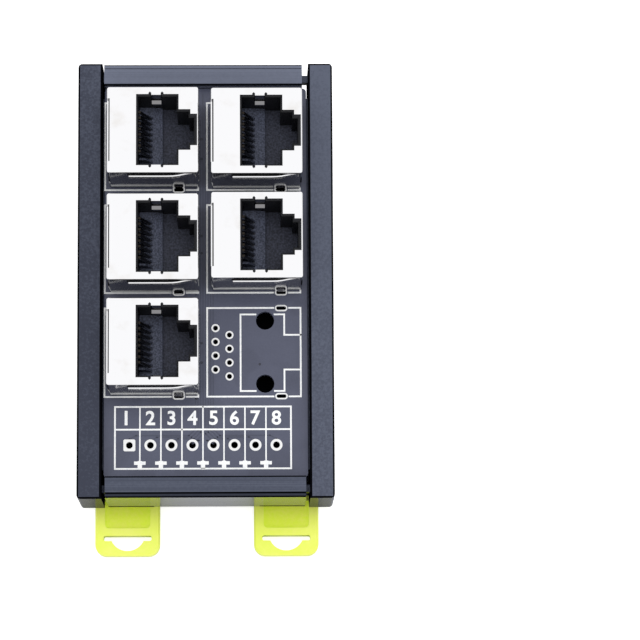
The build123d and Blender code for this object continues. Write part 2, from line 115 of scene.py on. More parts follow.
class Signal:
    """A number, colour or vector on its way through a material's nodes."""

    def __init__(self, surface: "Surface", socket: bpy.types.NodeSocket) -> None:
        """Wraps one output socket of a surface's node tree."""
        self.surface = surface
        self.socket = socket

    def maths(self, operation: str, first: "Value", second: "Value") -> "Signal":
        """Adds one Math node that works on two numbers."""
        return self.surface.node("ShaderNodeMath", {"operation": operation}, {0: first, 1: second})

    def __add__(self, other: "Value") -> "Signal":
        """The sum."""
        return self.maths("ADD", self, other)

    __radd__ = __add__

    def __sub__(self, other: "Value") -> "Signal":
        """The difference."""
        return self.maths("SUBTRACT", self, other)

    def __rsub__(self, other: "Value") -> "Signal":
        """The difference, this signal taken away."""
        return self.maths("SUBTRACT", other, self)

    def __mul__(self, other: "Value") -> "Signal":
        """The product, which is also where two masks meet."""
        return self.maths("MULTIPLY", self, other)

    __rmul__ = __mul__

    def about(self, base: "Value", swing: float) -> "Signal":
        """A value that swings about a base as this noise swings about a half."""
        return base + swing * (self - 0.5)


Value = Signal | float | tuple[float, ...]


@dataclass(frozen=True)
class Tone:
    """A colour as a screen shows it, from 0 to 255 in each channel."""

    red: float
    green: float
    blue: float

    def linear(self) -> Colour:
        """Turns the colour into light, by the standard curve of screens.

        Returns:
            The colour as shader sockets take it.
        """
        channels = [channel / 255 for channel in (self.red, self.green, self.blue)]
        light = [c / 12.92 if c <= 0.04045 else ((c + 0.055) / 1.055) ** 2.4 for c in channels]
        return (light[0], light[1], light[2], 1.0)


class Surface:
    """One material: its shader and the nodes that feed it."""

    def __init__(self, name: str) -> None:
        """Starts a material with a Principled shader.

        Args:
            name: The material's name.
        """
        self.material = bpy.data.materials.new(name)
        self.material.use_nodes = True
        self.tree = self.material.node_tree
        self.shader = next(n for n in self.tree.nodes if n.type == "BSDF_PRINCIPLED")

    def node(
        self,
        kind: str,
        settings: dict[str, object] | None = None,
        inputs: dict[int | str, Value] | None = None,
        output: int | str = 0,
    ) -> Signal:
        """Adds a node.

        Args:
            kind: The node's type name.
            settings: Its own settings, set before its sockets.
            inputs: Values or signals of its input sockets.
            output: The output socket that is wanted.

        Returns:
            The wanted output as a signal.
        """
        node = self.tree.nodes.new(kind)
        for key, value in (settings or {}).items():
            setattr(node, key, value)
        for key, value in (inputs or {}).items():
            self.feed(node.inputs[key], value)
        return Signal(self, node.outputs[output])

    def feed(self, socket: bpy.types.NodeSocket, value: Value) -> None:
        """Feeds one socket.

        Args:
            socket: The input socket.
            value: A signal to link to it, or the socket's own value.
        """
        if isinstance(value, Signal):
            self.tree.links.new(value.socket, socket)
        else:
            socket.default_value = value

    def set(self, **values: Value) -> None:
        """Feeds the shader's sockets, named with underscores for spaces."""
        for key, value in values.items():
            self.feed(self.shader.inputs[key.replace("_", " ")], value)

    def place(self, scale: Triple = (1.0, 1.0, 1.0)) -> Signal:
        """The point of the object.

        Args:
            scale: The stretch along each axis.

        Returns:
            The point in millimetres, stretched.
        """
        coords = self.node("ShaderNodeTexCoord", output="Object")
        factors = tuple(s / MM for s in scale)
        return self.node(
            "ShaderNodeVectorMath", {"operation": "MULTIPLY"}, {0: coords, 1: factors}
        )

    def part(self, vector: Signal, axis: Axis) -> Signal:
        """One of the three numbers of a vector."""
        return self.node("ShaderNodeSeparateXYZ", {}, {0: vector}, output=axis.value)

    def at(self, axis: Axis) -> Signal:
        """The place along one axis, in millimetres."""
        return self.part(self.place(), axis)

    def facing(self, axis: Axis) -> Signal:
        """The share of a face's normal along one axis."""
        return self.part(self.node("ShaderNodeNewGeometry", output="Normal"), axis)

    def noise(self, scale: Triple, detail: float = 2.0, roughness: float = 0.55) -> Signal:
        """Soft noise.

        Args:
            scale: Its cycles per millimetre along each axis.
            detail: How many finer layers it has.
            roughness: How strong the finer layers are.

        Returns:
            A number from 0 to 1.
        """
        return self.node(
            "ShaderNodeTexNoise",
            {"noise_dimensions": "3D"},
            {
                "Vector": self.place(scale),
                "Scale": 1.0,
                "Detail": detail,
                "Roughness": roughness,
            },
        )

    def blend(self, mask: Value, first: Value, second: Value) -> Signal:
        """Mixes two colours.

        Args:
            mask: The share of the second colour.
            first: The colour where the mask is 0.
            second: The colour where the mask is 1.

        Returns:
            The mixed colour.
        """
        # The node's colours are its inputs 6 and 7 and its output 2.
        return self.node(
            "ShaderNodeMix",
            {"data_type": "RGBA", "clamp_factor": True},
            {0: mask, 6: first, 7: second},
            output=2,
        )

    def step(self, signal: Value, low: float, high: float) -> Signal:
        """A smooth mask.

        Args:
            signal: What the mask is made of.
            low: The value up to which the mask is 0.
            high: The value from which the mask is 1.

        Returns:
            The mask.
        """
        return self.node(
            "ShaderNodeMapRange",
            {"interpolation_type": "SMOOTHSTEP", "clamp": True},
            {"Value": signal, "From Min": low, "From Max": high},
        )

    def above(self, low: float, high: float) -> Signal:
        """A mask that rises from 0 to 1 between two heights."""
        return self.step(self.at(Axis.Z), low, high)

    def beyond(self, signal: Signal, limit: float) -> Signal:
        """A mask of one where a coordinate is further out than a limit, on either side."""
        return self.step(signal * signal, limit**2, (limit + EDGE_FADE) ** 2)

    def between(self, signal: Signal, low: float, high: float) -> Signal:
        """A mask of one between two distances from the middle, on either side."""
        return self.beyond(signal, low) * (1 - self.beyond(signal, high))

    def upward(self) -> Signal:
        """A mask of one on the faces that look up."""
        return self.step(self.facing(Axis.Z), *LOOKS_UP)

    def wall(self) -> Signal:
        """A mask of one on the upright faces at the two ends."""
        outward = self.facing(Axis.Y)
        return self.step(outward * outward, *LOOKS_ALONG)

    def relief(self, height: Value, depth: float, strength: float = 1.0) -> None:
        """Feeds a bump to the shader.

        Args:
            height: The bump's height, from 0 to 1.
            depth: Its full depth in millimetres.
            strength: The share of it that shows.
        """
        inputs = {"Strength": strength, "Distance": depth * MM, "Height": height}
        self.feed(self.shader.inputs["Normal"], self.node("ShaderNodeBump", {}, inputs))

    def darken(self, mask: Signal, tone: Tone) -> None:
        """Paints shade: lets a matt dark shader take over, as in gaps and grooves.

        Args:
            mask: One where it takes over.
            tone: The colour of the painted shade.
        """
        matt = self.tree.nodes.new("ShaderNodeBsdfDiffuse")
        matt.inputs["Color"].default_value = tone.linear()
        mix = self.tree.nodes.new("ShaderNodeMixShader")
        self.feed(mix.inputs[0], mask)
        output = next(n for n in self.tree.nodes if n.type == "OUTPUT_MATERIAL")
        self.tree.links.new(self.shader.outputs[0], mix.inputs[1])
        self.tree.links.new(matt.outputs[0], mix.inputs[2])
        self.tree.links.new(mix.outputs[0], output.inputs["Surface"])


# Finishes. Their lengths are in millimetres, and their scales in cycles per millimetre.


@dataclass(frozen=True)
class MouldedPlastic:
    """Injection-moulded plastic with an even grain and slightly cloudy colour.

    The grain and the cloud are the sizes of their patches, the speckle is the grain's share
    in the colour, and the wear is how much the roughness varies.
    """

    dark: Tone
    light: Tone
    roughness: float
    grain: float = 0.35
    grain_depth: float = 0.012
    cloud: float = 9.0
    gloss: float = 0.5
    speckle: float = 0.4
    wear: float = 0.1
    tint_span: Span = (0.35, 0.68)

    def dress(self, name: str) -> Surface:
        """Makes the finish.

        Args:
            name: The name of its material.

        Returns:
            The finished surface.
        """
        surface = Surface(name)
        grain = surface.noise((1 / self.grain,) * 3, detail=3.0)
        cloud = surface.noise((1 / self.cloud,) * 3)
        mottle = (1 - self.speckle) * cloud + self.speckle * grain
        surface.set(
            Base_Color=self.colour(surface, surface.step(mottle, *self.tint_span)),
            Roughness=self.shine(surface, grain.about(self.roughness, self.wear)),
            Specular_IOR_Level=self.gloss,
        )
        surface.relief(grain, self.grain_depth)
        return surface

    def colour(self, surface: Surface, tint: Signal) -> Signal:
        """The base colour for a cloudy tint from 0 to 1."""
        return surface.blend(tint, self.dark.linear(), self.light.linear())

    def shine(self, surface: Surface, roughness: Signal) -> Signal:
        """The roughness, the same on all faces of plain plastic."""
        return roughness


@dataclass(frozen=True)
class EndPlastic(MouldedPlastic):
    """Plastic of the end elements: grained on top, glossy at the ends, painted shade at its edges.

    A painted light gradient makes the plastic lighter by so much per millimetre along X and
    along Y. The gap is the span of place times normal that marks the faces in the end gaps,
    which get painted shade, as do the top edges and the end walls.
    """

    # Colour of the painted shade.
    edge: Tone = Tone(10, 11, 15)
    tint_share: float = 0.5
    tint_base: float = 0.25
    # Painted light: how much lighter the tint gets per millimetre along X and along Y.
    drift: float = 0.017
    slope: float = 0.0045
    half_width: float = 23.275
    half_depth: float = 40.07
    line: float = 0.36
    upper: Span = (16.5, 16.6)
    gap: Span = (5.0, 12.0)
    wall_roughness: float = 0.14
    # Share of painted shade on the end walls.
    wall_shade: float = 0.6

    def colour(self, surface: Surface, tint: Signal) -> Signal:
        """Paints the tops with a painted light gradient, and painted shade on the top edges,
        the faces in the end gaps and the end walls.

        Args:
            surface: The surface that is being made.
            tint: The cloudy tint from 0 to 1.

        Returns:
            The base colour.
        """
        x, y = surface.at(Axis.X), surface.at(Axis.Y)
        # Painted shade: dark lines along the top edges, the faces in the end gaps and the end
        # walls.
        edges = surface.beyond(x, self.half_width - self.line)
        edges = edges + surface.beyond(y, self.half_depth - self.line)
        edges = edges * surface.above(*self.upper)
        inward_shade = surface.step(0 - surface.facing(Axis.X) * x, *self.gap)
        surface.darken(edges + inward_shade + self.wall_shade * surface.wall(), self.edge)
        # Painted light: the tint gets lighter towards +X and +Y.
        tint = self.tint_share * tint + self.tint_base + self.drift * x + self.slope * y
        return super().colour(surface, tint)

    def shine(self, surface: Surface, roughness: Signal) -> Signal:
        """The roughness, lower on the faces at the two ends."""
        return roughness + (self.wall_roughness - self.roughness) * surface.wall()


@dataclass(frozen=True)
class LatchPlastic(MouldedPlastic):
    """Lime-yellow plastic of the latches, with painted shade deepening the pocket's floor."""

    # Painted shade: deeper tones for the pocket's floor.
    pocket_dark: Tone = Tone(234, 255, 56)
    pocket_light: Tone = Tone(244, 255, 94)
    pocket_height: Span = (-0.75, -0.55)

    def colour(self, surface: Surface, tint: Signal) -> Signal:
        """Paints the pocket's floor with painted shade, and the rest.

        Args:
            surface: The surface that is being made.
            tint: The cloudy tint from 0 to 1.

        Returns:
            The base colour.
        """
        rim = super().colour(surface, tint)
        # Painted shade on the pocket's floor.
        floor = surface.blend(tint, self.pocket_dark.linear(), self.pocket_light.linear())
        low = 1 - surface.above(*self.pocket_height)
        return surface.blend(low * surface.upward(), rim, floor)


@dataclass(frozen=True)
class SocketPlastic(MouldedPlastic):
    """Black plastic of the sockets, with painted light making the ledges and floors greyer."""

    # Painted light: greyer tones for faces that look up, below the rim height.
    ledge_dark: Tone = Tone(36, 38, 48)
    ledge_light: Tone = Tone(66, 69, 84)
    rim: Tone = Tone(24, 25, 30)
    rim_height: Span = (25.5, 26.0)

    def colour(self, surface: Surface, tint: Signal) -> Signal:
        """Paints the faces that look up lighter, as painted light, and the rest.

        Args:
            surface: The surface that is being made.
            tint: The cloudy tint from 0 to 1.

        Returns:
            The base colour.
        """
        # Painted light on the faces that look up.
        lit_ledge = surface.blend(tint, self.ledge_dark.linear(), self.ledge_light.linear())
        flat = surface.blend(surface.above(*self.rim_height), lit_ledge, self.rim.linear())
        return surface.blend(surface.upward(), super().colour(surface, tint), flat)


@dataclass(frozen=True)
class ExtrudedPlastic:
    """Extruded plastic: fine die lines along the section, smooth on the outer walls, with
    painted shade in its grooves, along its edges and on its floor.

    The grooves, the front and the outer edge, where the shade is painted, are distances from
    the middle along Y, and the feet are distances from it along X.
    """

    dark: Tone
    light: Tone
    # Colour of the painted shade.
    edge: Tone
    roughness: float
    wall_roughness: float
    line_scale: Triple = (0.01, 6.25, 6.25)
    band_scale: Triple = (0.012, 0.9, 0.9)
    speck_scale: Triple = (2.2, 2.2, 2.2)
    line_share: float = 0.45
    band_share: float = 0.35
    speck_share: float = 0.2
    tint_span: Span = (0.36, 0.62)
    tint_share: float = 0.4
    tint_base: float = 0.3
    # Painted light: how much lighter the tint gets per millimetre towards +Y.
    drift: float = 0.009
    wear: float = 0.12
    line_depth: float = 0.01
    line_strength: float = 0.8
    # Where shade is painted: edge and groove lines, the band before the lip, the front wall's foot
    # and the low floor.
    outer_edge: float = 39.64
    inner_groove: Span = (35.93, 36.26)
    lip_groove: Span = (38.9, 39.24)
    lip_shade: float = 0.6
    front: Span = (30.0, 31.0)
    feet: Span = (9.7, 18.9)
    foot_height: Span = (1.3, 1.4)
    floor_height: Span = (9.0, 9.5)
    upper: Span = (16.3, 16.4)

    def tint(self, surface: Surface, lines: Signal) -> Signal:
        """Mixes the die lines, broader bands and specks, with a painted light gradient along Y.

        Args:
            surface: The surface that is being made.
            lines: The die lines.

        Returns:
            The share of the light colour, raised towards +Y as painted light.
        """
        bands = self.band_share * surface.noise(self.band_scale)
        specks = self.speck_share * surface.noise(self.speck_scale, detail=3.0)
        mottle = surface.step(self.line_share * lines + bands + specks, *self.tint_span)
        return self.tint_share * mottle + self.tint_base + self.drift * surface.at(Axis.Y)

    def shadows(self, surface: Surface) -> Signal:
        """Paints shade into the grooves, along the edges, at the foot of the front wall over the
        latches and on the closed floor.

        Args:
            surface: The surface that is being made.

        Returns:
            The mask of what is dark.
        """
        x, y = surface.at(Axis.X), surface.at(Axis.Y)
        front = surface.step(0 - y, *self.front)
        lip = surface.between(y, *self.lip_groove)
        lip = lip + self.lip_shade * surface.beyond(y, self.lip_groove[1])
        edges = surface.between(y, *self.inner_groove) + surface.beyond(y, self.outer_edge)
        foot = front * surface.wall() * surface.between(x, *self.feet)
        foot = foot * (1 - surface.above(*self.foot_height))
        floor = surface.upward() * (1 - surface.above(*self.floor_height))
        return (edges + lip * front) * surface.above(*self.upper) + foot + floor

    def dress(self, name: str) -> Surface:
        """Makes the finish.

        Args:
            name: The name of its material.

        Returns:
            The finished surface.
        """
        surface = Surface(name)
        lines = surface.noise(self.line_scale)
        tint = self.tint(surface, lines)
        smooth = (self.wall_roughness - self.roughness) * surface.wall()
        surface.set(
            Base_Color=surface.blend(tint, self.dark.linear(), self.light.linear()),
            Roughness=lines.about(self.roughness, self.wear) + smooth,
        )
        surface.relief(lines, self.line_depth, self.line_strength)
        surface.darken(self.shadows(surface), self.edge)
        return surface


@dataclass(frozen=True)
class BoardMask:
    """Dark solder mask over copper: the fills show as faint plateaus with a glass weave."""

    bare: Tone
    filled: Tone
    roughness: float = 0.42
    coat: float = 0.15
    wear: float = 0.1
    weave_scale: Triple = (2.6, 2.6, 0.5)
    fill_scale: Triple = (0.11, 0.11, 0.01)
    cloud_scale: Triple = (0.3, 0.3, 0.05)
    fill_span: Span = (0.44, 0.5)
    fill_share: float = 0.2
    cloud_share: float = 0.4
    weave_share: float = 0.4
    weave_depth: float = 0.008
    weave_strength: float = 0.7

    def dress(self, name: str) -> Surface:
        """Makes the finish.

        Args:
            name: The name of its material.

        Returns:
            The finished surface.
        """
        surface = Surface(name)
        weave = surface.noise(self.weave_scale, detail=3.0)
        fill = surface.step(surface.noise(self.fill_scale, detail=1.0), *self.fill_span)
        cloud = surface.noise(self.cloud_scale, detail=3.0)
        tint = self.fill_share * fill + self.cloud_share * cloud + self.weave_share * weave
        surface.set(
            Base_Color=surface.blend(tint, self.bare.linear(), self.filled.linear()),
            Roughness=weave.about(self.roughness, self.wear),
            Coat_Weight=self.coat,
        )
        surface.relief(weave, self.weave_depth, self.weave_strength)
        return surface


@dataclass(frozen=True)
class PlatedSheet:
    """Bright plated sheet metal with a faint rolling grain and a few handling marks, and
    painted shade on all faces but the top one.
    """

    bright: Tone
    dull: Tone
    # Painted shade: the darker tone of every face but the top one, on the same metal.
    wall: Tone
    roughness: float = 0.09
    grain_wear: float = 0.03
    mark_wear: float = 0.07
    grain_scale: Triple = (0.25, 5.0, 5.0)
    mark_scale: Triple = (0.22, 0.22, 0.22)
    mark_span: Span = (0.52, 0.78)
    face_span: Span = (0.1, 0.6)
    face_height: Span = (26.5, 27.0)
    grain_depth: float = 0.004
    grain_strength: float = 0.5

    def dress(self, name: str) -> Surface:
        """Makes the finish.

        Args:
            name: The name of its material.

        Returns:
            The finished surface.
        """
        surface = Surface(name)
        grain = surface.noise(self.grain_scale)
        marks = surface.step(surface.noise(self.mark_scale, detail=3.0), *self.mark_span)
        colour = surface.blend(marks, self.bright.linear(), self.dull.linear())
        # Painted shade: only the top face keeps the bright colours.
        face = surface.step(surface.facing(Axis.Z), *self.face_span)
        face = face * surface.above(*self.face_height)
        surface.set(
            Base_Color=surface.blend(face, self.wall.linear(), colour),
            Metallic=1.0,
            Roughness=self.roughness + self.grain_wear * grain + self.mark_wear * marks,
        )
        surface.relief(grain, self.grain_depth, self.grain_strength)
        return surface


@dataclass(frozen=True)
class Solder:
    """Tinned copper or gilt wire, a little uneven, with painted shade high up in the sockets."""

    bright: Tone
    dull: Tone
    roughness: float = 0.25
    wear: float = 0.15
    # Painted shade high up in the sockets, and the height where it starts.
    dim: Tone = Tone(50, 46, 42)
    dim_height: Span = (20.2, 21.2)
    ripple_scale: Triple = (1.6, 1.6, 1.6)
    ripple_depth: float = 0.02
    ripple_strength: float = 0.5

    def dress(self, name: str) -> Surface:
        """Makes the finish.

        Args:
            name: The name of its material.

        Returns:
            The finished surface.
        """
        surface = Surface(name)
        ripple = surface.noise(self.ripple_scale)
        colour = surface.blend(ripple, self.dull.linear(), self.bright.linear())
        # Painted shade: the wire is darker above this height.
        high = surface.above(*self.dim_height)
        surface.set(
            Base_Color=surface.blend(high, colour, self.dim.linear()),
            Metallic=1.0,
            Roughness=self.roughness + self.wear * ripple,
        )
        surface.relief(ripple, self.ripple_depth, self.ripple_strength)
        return surface


@dataclass(frozen=True)
class Ink:
    """White legend ink, a little thin in places."""

    white: Tone = Tone(254, 255, 255)
    thin: Tone = Tone(240, 243, 247)
    roughness: float = 0.55
    wear: float = 0.1
    cover_scale: Triple = (1.4, 1.4, 1.4)
    cover_span: Span = (0.3, 0.55)

    def dress(self, name: str) -> Surface:
        """Makes the finish.

        Args:
            name: The name of its material.

        Returns:
            The finished surface.
        """
        surface = Surface(name)
        cover = surface.step(surface.noise(self.cover_scale, detail=3.0), *self.cover_span)
        surface.set(
            Base_Color=surface.blend(cover, self.thin.linear(), self.white.linear()),
            Roughness=self.roughness + self.wear * cover,
        )
        return surface


class Finish(Enum):
    """The finishes of the module, each made once."""

    CARRIER = ExtrudedPlastic(
        dark=Tone(54, 60, 77),
        light=Tone(98, 104, 122),
        # The edge tone is the colour of the painted shade.
        edge=Tone(12, 13, 18),
        roughness=0.4,
        wall_roughness=0.1,
    )
    SIDE = EndPlastic(
        dark=Tone(38, 43, 60),
        light=Tone(80, 86, 103),
        roughness=0.5,
        grain=0.42,
        grain_depth=0.02,
        speckle=0.85,
    )
    LATCH = LatchPlastic(
        dark=Tone(241, 255, 96),
        light=Tone(248, 255, 120),
        roughness=0.34,
        grain=0.6,
        grain_depth=0.006,
        cloud=14.0,
    )
    BOARD = BoardMask(bare=Tone(62, 65, 83), filled=Tone(86, 90, 110))
    SHIELD = PlatedSheet(
        # The wall tone is painted shade on the sheet's sides.
        bright=Tone(250, 250, 252), dull=Tone(241, 239, 238), wall=Tone(138, 137, 139)
    )
    SOCKET = SocketPlastic(
        dark=Tone(10, 10, 12), light=Tone(19, 19, 22), roughness=0.5, gloss=0.35, speckle=0.9
    )
    BLOCK = MouldedPlastic(
        dark=Tone(46, 50, 63),
        light=Tone(90, 95, 114),
        roughness=0.5,
        grain=0.28,
        grain_depth=0.03,
        speckle=0.9,
    )
    CONTACT = Solder(bright=Tone(214, 196, 160), dull=Tone(160, 142, 108), roughness=0.2)
    TIN = Solder(bright=Tone(255, 255, 255), dull=Tone(240, 241, 242))
    TRACK = BoardMask(bare=Tone(56, 59, 75), filled=Tone(74, 78, 96))
    VIA = MouldedPlastic(dark=Tone(30, 32, 42), light=Tone(44, 47, 58), roughness=0.35)
    INK = Ink()


class Wardrobe:
    """Gives each finish out as one shared material."""

    def __init__(self) -> None:
        """Starts with no material made."""
        self.made: dict[Finish, bpy.types.Material] = {}

    def material(self, finish: Finish) -> bpy.types.Material:
        """Looks a finish's material up, and makes it on its first use.

        Args:
            finish: The finish.

        Returns:
            Its material.
        """
        if finish not in self.made:
            self.made[finish] = finish.value.dress(finish.name.lower()).material
        return self.made[finish]

    def dress(self, piece: bpy.types.Object, finish: Finish) -> None:
        """Gives a piece one finish in all its slots.

        Args:
            piece: The piece.
            finish: Its finish.
        """
        material = self.material(finish)
        if not piece.material_slots:
            piece.data.materials.append(material)
        for slot in piece.material_slots:
            slot.material = material


# The bench: how pieces are shaped


class Bench:
    """Primitives, edit-mode steps and modifiers, each on a cleared selection."""

    @staticmethod
    def clear() -> None:
        """Deselects everything in object mode."""
        if bpy.context.object and bpy.context.object.mode != "OBJECT":
            bpy.ops.object.mode_set(mode="OBJECT")
        bpy.ops.object.select_all(action="DESELECT")

    @classmethod
    def pick(cls, piece: bpy.types.Object) -> None:
        """Makes one piece the only selected and active one.

        Args:
            piece: The piece.
        """
        cls.clear()
        piece.select_set(True)
        bpy.context.view_layer.objects.active = piece

    @staticmethod
    def settle() -> bpy.types.Object:
        """Applies the place of the newest piece to its mesh and returns it."""
        bpy.ops.object.transform_apply(location=True, rotation=True, scale=True)
        return bpy.context.object

    @classmethod
    def choose(
        cls, piece: bpy.types.Object, kind: Kind, wanted: Callable[[bpy.types.bpy_struct], bool]
    ) -> None:
        """Selects edges or faces and stays in edit mode.

        Args:
            piece: The mesh.
            kind: Edges or faces.
            wanted: The test that an edge or a face has to pass.
        """
        cls.pick(piece)
        bpy.ops.object.mode_set(mode="EDIT")
        bpy.ops.mesh.select_mode(type=kind.value)
        bpy.ops.mesh.select_all(action="DESELECT")
        bpy.ops.object.mode_set(mode="OBJECT")
        elements = piece.data.edges if kind is Kind.EDGE else piece.data.polygons
        for element in elements:
            element.select = bool(wanted(element))
        bpy.ops.object.mode_set(mode="EDIT")

    @classmethod
    def edges(cls, piece: bpy.types.Object, wanted: Callable[[Vector, Vector], bool]) -> None:
        """Selects the edges whose two ends pass a test.

        Args:
            piece: The mesh.
            wanted: The test of the two ends, in millimetres.
        """
        points = [vertex.co.copy() for vertex in piece.data.vertices]
        cls.choose(piece, Kind.EDGE, lambda edge: wanted(*(points[v] for v in edge.vertices)))

    @staticmethod
    def close() -> None:
        """Points all faces of the edited mesh outwards and leaves edit mode."""
        bpy.ops.mesh.select_all(action="SELECT")
        bpy.ops.mesh.normals_make_consistent(inside=False)
        bpy.ops.object.mode_set(mode="OBJECT")

    @classmethod
    def block(cls, low: Triple, high: Triple, turn: float = 0.0) -> bpy.types.Object:
        """Makes a block.

        Args:
            low: One corner.
            high: The corner across from it.
            turn: The turn about the upright middle line, in radians.

        Returns:
            The block.
        """
        cls.clear()
        middle = [(a + b) / 2 for a, b in zip(low, high)]
        size = [abs(b - a) for a, b in zip(low, high)]
        bpy.ops.mesh.primitive_cube_add(
            size=1, location=middle, rotation=(0, 0, turn), scale=size
        )
        return cls.settle()

    @classmethod
    def bar(cls, start: Point, end: Point, width: float, heights: Span) -> bpy.types.Object:
        """Makes a flat bar whose ends reach round the corners to the next ones.

        Args:
            start: The point that it starts from.
            end: The point that it ends at.
            width: Its width.
            heights: The heights of its underside and its top.

        Returns:
            The bar.
        """
        length = math.dist(start, end) + width
        x, y = (start[0] + end[0]) / 2, (start[1] + end[1]) / 2
        turn = math.atan2(end[1] - start[1], end[0] - start[0])
        low = (x - length / 2, y - width / 2, heights[0])
        high = (x + length / 2, y + width / 2, heights[1])
        return cls.block(low, high, turn)

    @classmethod
    def tube(cls, outer: float, inner: float, heights: Span, sides: int = 32) -> bpy.types.Object:
        """Makes an upright ring: a cylinder's caps inset, then bridged to open the bore.

        Args:
            outer: The outer radius.
            inner: The radius of the bore.
            heights: The heights of its underside and its top.
            sides: The number of sides.

        Returns:
            The ring.
        """
        low, high = heights
        cls.clear()
        bpy.ops.mesh.primitive_cylinder_add(
            vertices=sides,
            radius=outer,
            depth=high - low,
            location=(0, 0, (low + high) / 2),
            rotation=(0, 0, math.pi / sides),
        )
        piece = cls.settle()
        cls.choose(piece, Kind.FACE, lambda face: abs(face.normal.z) > LEVEL)
        bpy.ops.mesh.inset(thickness=outer - inner, use_individual=True)
        bpy.ops.mesh.bridge_edge_loops()
        cls.close()
        return piece

    @classmethod
    def strip(
        cls, path: Sequence[Triple], across: Triple, thickness: float
    ) -> bpy.types.Object:
        """Makes a bent strip of sheet: an edge drawn along a path and given its thickness.

        Args:
            path: The middle line of the strip, in millimetres.
            across: The vector from one long edge to the other.
            thickness: The sheet's thickness.

        Returns:
            The strip as a closed mesh.
        """
        cls.clear()
        bpy.ops.mesh.primitive_plane_add(size=1)
        piece = bpy.context.object
        half = Vector(across) / 2
        first, second = Vector(path[0]), Vector(path[1])
        corners = [first - half, first + half, second - half, second + half]
        far_edge = {2, 3}
        for vertex, corner in zip(piece.data.vertices, corners):
            vertex.co = corner
        cls.choose(piece, Kind.EDGE, lambda edge: set(edge.vertices) == far_edge)
        for start, end in zip(path[1:], path[2:]):
            step = Vector(end) - Vector(start)
            bpy.ops.mesh.extrude_region_move(TRANSFORM_OT_translate={"value": tuple(step)})
        cls.close()
        cls.modify(piece, "SOLIDIFY", thickness=thickness, offset=0.0)
        return piece

    @classmethod
    def modify(cls, piece: bpy.types.Object, kind: str, **settings: object) -> None:
        """Adds a modifier and applies it.

        Args:
            piece: The mesh.
            kind: The modifier's type name.
            **settings: The modifier's settings.
        """
        cls.pick(piece)
        modifier = piece.modifiers.new(kind.lower(), kind)
        for key, value in settings.items():
            setattr(modifier, key, value)
        bpy.ops.object.modifier_apply(modifier=modifier.name)

    @classmethod
    def cut(cls, piece: bpy.types.Object, cutter: bpy.types.Object) -> None:
        """Takes one mesh out of another.

        Args:
            piece: The mesh that is cut.
            cutter: The mesh that is taken out, and then cleared away.
        """
        cls.modify(piece, "BOOLEAN", operation="DIFFERENCE", solver="MANIFOLD", object=cutter)
        bpy.data.objects.remove(cutter)
        cls.modify(piece, "TRIANGULATE")

    @classmethod
    def join(cls, pieces: Sequence[bpy.types.Object]) -> bpy.types.Object:
        """Joins meshes.

        Args:
            pieces: The meshes.

        Returns:
            The first of them, which now holds all.
        """
        cls.clear()
        for piece in pieces:
            piece.select_set(True)
        bpy.context.view_layer.objects.active = pieces[0]
        if len(pieces) > 1:
            bpy.ops.object.join()
        return pieces[0]

    @staticmethod
    def shift(piece: bpy.types.Object, x: float, y: float) -> bpy.types.Object:
        """Moves a piece's mesh along the board, so its object stays at the origin."""
        piece.data.transform(Matrix.Translation(Vector((x, y, 0.0))))
        return piece

    @staticmethod
    def copy(piece: bpy.types.Object) -> bpy.types.Object:
        """Copies a piece with its mesh.

        Args:
            piece: The piece.

        Returns:
            The copy, with a mesh of its own.
        """
        twin = piece.copy()
        twin.data = piece.data.copy()
        bpy.context.collection.objects.link(twin)
        return twin

    @classmethod
    def repeat(cls, piece: bpy.types.Object, places: Iterable[Point]) -> bpy.types.Object:
        """Sets copies of a piece at several places.

        Args:
            piece: The piece at the origin, which is cleared away.
            places: Where the copies go.

        Returns:
            The copies, joined.
        """
        copies = [cls.shift(cls.copy(piece), x, y) for x, y in places]
        bpy.data.objects.remove(piece)
        return cls.join(copies)


class Fitter:
    """Names, dresses and mounts the finished pieces."""

    def __init__(self, wardrobe: Wardrobe) -> None:
        """Works with one wardrobe of finishes."""
        self.wardrobe = wardrobe

    def fit(
        self,
        piece: bpy.types.Object,
        name: str,
        finish: Finish,
        replaces: Sequence[str] = (),
        body: str = CARRIER,
    ) -> None:
        """Fits a finished piece to the frame.

        Args:
            piece: The mesh in its place, in millimetres.
            name: The piece's own name.
            finish: Its finish.
            replaces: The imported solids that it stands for.
            body: The body that it rides on.
        """
        piece.data.transform(Matrix.Scale(MM, 4))
        piece.name = piece.data.name = name
        self.wardrobe.dress(piece, finish)
        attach(piece, body)
        if replaces:
            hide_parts(*replaces)
        LOG.info("%s: %d faces on %s", name, len(piece.data.polygons), body)


# Sub-assemblies. Their sizes are in millimetres.


@dataclass
class Grid:
    """Where the socket places and the terminal place are on the board.

    A slot is measured from the middle of its socket place.
    """

    board_top: float
    board_bottom: float
    columns: int = 2
    rows: int = 3
    column_pitch: float = 18.66
    row_pitch: float = 19.12
    first_x: float = -7.86
    first_y: float = -13.1
    slot_x: float = 2.95
    slot_y: float = 8.1
    terminal_x: float = -0.53
    terminal_y: float = -30.1
    terminal_pitch: float = 3.81
    terminal_count: int = 8

    @classmethod
    def from_frame(cls) -> "Grid":
        """Reads the board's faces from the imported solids."""
        low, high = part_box("circuit_board")
        return cls(board_top=high[2] / MM, board_bottom=low[2] / MM)

    def film(self, lift: float) -> Span:
        """The heights of a thin film that lies half in the board's face."""
        return self.board_top - lift, self.board_top + lift

    def socket_places(self) -> list[Point]:
        """The middle between the two pegs of all six socket places."""
        return [
            (self.first_x + column * self.column_pitch, self.first_y + row * self.row_pitch)
            for column in range(self.columns)
            for row in range(self.rows)
        ]

    def spare(self) -> Point:
        """The middle between the two peg holes of the empty socket place."""
        return self.first_x + self.column_pitch, self.first_y

    def terminals(self) -> list[Point]:
        """The holes of the terminal place from left to right."""
        first = self.terminal_x - self.terminal_pitch * (self.terminal_count - 1) / 2
        return [
            (first + self.terminal_pitch * index, self.terminal_y)
            for index in range(self.terminal_count)
        ]


